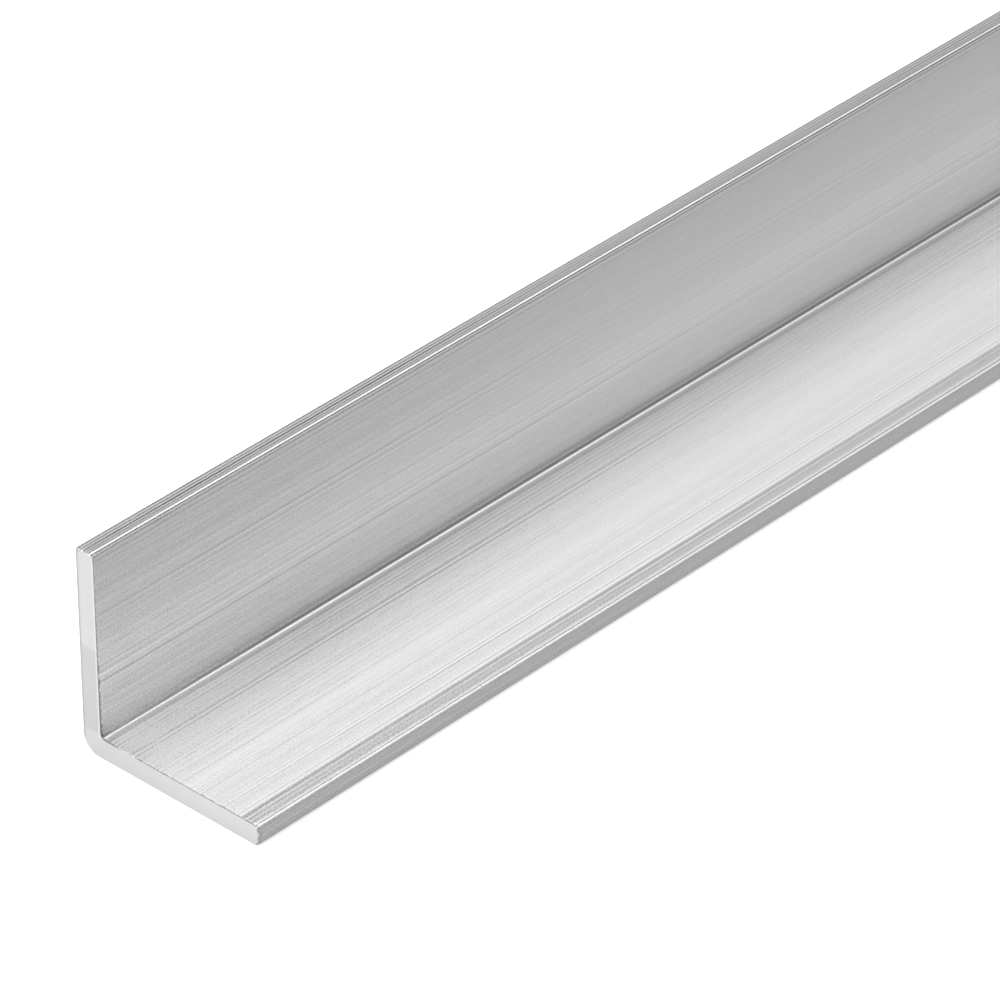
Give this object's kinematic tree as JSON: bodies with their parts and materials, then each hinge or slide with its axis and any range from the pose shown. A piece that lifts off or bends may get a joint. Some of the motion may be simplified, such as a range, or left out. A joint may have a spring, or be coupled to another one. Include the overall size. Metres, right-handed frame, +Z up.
{
  "type": "metal angle section",
  "caption": "Straight equal-leg aluminium angle extrusion with a rounded heel, a small root fillet and eased long edges, sawn square at both ends, for framing, edging and brackets.",
  "frame": {"origin": "on the floor, under the middle of the bar's bounding box: halfway along the bar and halfway across the leg that lies flat", "axes": "+X along the bar, away from the end that the picture shows; +Z up; the upright leg stands along the +Y edge and the open side of the angle faces -Y"},
  "size_m": [1, 0.03, 0.03],
  "materials": {
    "mill_finish_aluminium": "mill finish, fine die lines along the bar, sawn ends"
  },
  "bodies": {
    "root": {"angle_section": "mill_finish_aluminium"}
  },
  "joints": []
}
